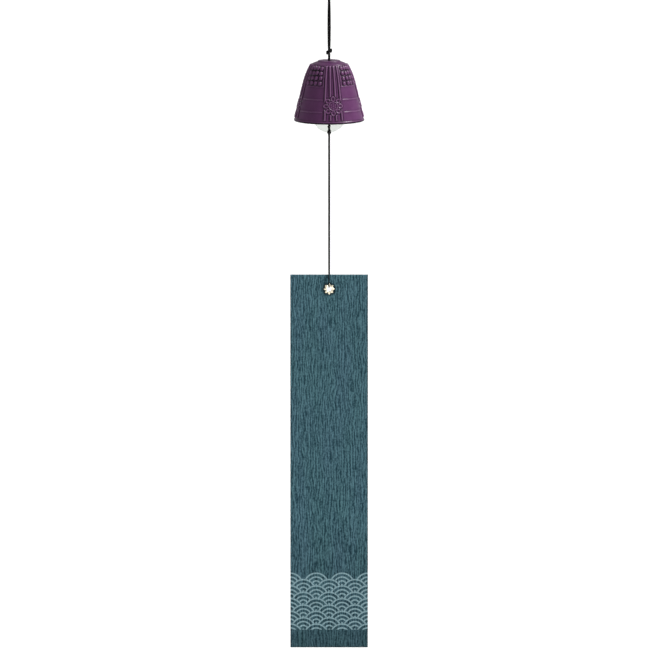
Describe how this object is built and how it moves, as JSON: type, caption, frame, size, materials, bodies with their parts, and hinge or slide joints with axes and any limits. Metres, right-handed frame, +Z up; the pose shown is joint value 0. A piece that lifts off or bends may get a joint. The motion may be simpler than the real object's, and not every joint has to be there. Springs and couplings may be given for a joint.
{
  "type": "furin wind bell",
  "caption": "Wind bell: a cast temple-bell shape with ribs, bosses and lotus relief on a knotted cord, with a disc clapper inside and a paper strip that catches the wind.",
  "frame": {"origin": "where a hook bears, inside the top of the hanging eye", "axes": "+Z up along the hanging cord, -Y towards the strip's front face with the star of its eyelet, +X to the right seen from there"},
  "size_m": [0.06, 0.054, 0.5287],
  "materials": {
    "purple_iron": "cast iron with a baked satin purple lacquer, a little paler on the raised relief",
    "black_cord": "round braided black cord, matt",
    "thin_cord": "thin twisted dark cord, matt",
    "clear_acrylic": "clear acrylic, faintly frosted",
    "brass": "thin pressed brass, bright",
    "crepe_paper": "teal crepe paper card with a fine upright crinkle"
  },
  "bodies": {
    "eye": {"hanging_eye": "black_cord"},
    "hanging_cord": {"hanging_strand_front": "black_cord", "hanging_strand_back": "black_cord"},
    "neck": {"upper_knot": "black_cord", "neck_strand_front": "black_cord", "neck_strand_back": "black_cord"},
    "bell": {"bell": "purple_iron"},
    "stop": {"stop_knot": "black_cord"},
    "clapper": {"clapper_loop": "black_cord", "clapper_disc": "clear_acrylic", "disc_hitch": "thin_cord"},
    "hitch": {"hitch_knot": "thin_cord"},
    "strip_cord": {"strip_strand_front": "thin_cord", "strip_strand_back": "thin_cord"},
    "strip_loop": {"eyelet_loop": "thin_cord"},
    "strip": {"strip": "crepe_paper", "eyelet": "brass"}
  },
  "joints": [
    {"name": "cord_sway_side", "type": "hinge", "parent": "eye", "child": "hanging_cord", "pos_m": [0, 0, -0.018], "axis": [0, 1, 0], "range_deg": [-40, 40]},
    {"name": "cord_sway_front", "type": "hinge", "parent": "hanging_cord", "child": "neck", "pos_m": [0, 0, -0.0624], "axis": [1, 0, 0], "range_deg": [-40, 40]},
    {"name": "bell_turn", "type": "hinge", "parent": "neck", "child": "bell", "pos_m": [0, 0, -0.0747], "axis": [0, 0, 1], "continuous": true},
    {"name": "clapper_turn", "type": "hinge", "parent": "neck", "child": "stop", "pos_m": [0, 0, -0.0747], "axis": [0, 0, 1], "continuous": true},
    {"name": "clapper_swing", "type": "hinge", "parent": "stop", "child": "clapper", "pos_m": [0, 0, -0.0747], "axis": [0, 1, 0], "range_deg": [-13.4, 13.4]},
    {"name": "strip_sway_side", "type": "hinge", "parent": "clapper", "child": "hitch", "pos_m": [0, 0, -0.12595], "axis": [0, 1, 0], "range_deg": [-45, 45]},
    {"name": "strip_sway_front", "type": "hinge", "parent": "hitch", "child": "strip_cord", "pos_m": [0, 0, -0.12595], "axis": [1, 0, 0], "range_deg": [-45, 45]},
    {"name": "strip_turn", "type": "hinge", "parent": "strip_cord", "child": "strip_loop", "pos_m": [0, 0, -0.21545], "axis": [0, 0, 1], "continuous": true},
    {"name": "strip_swing", "type": "hinge", "parent": "strip_loop", "child": "strip", "pos_m": [0, 0, -0.24545], "axis": [0, 1, 0], "range_deg": [-50, 50]}
  ]
}
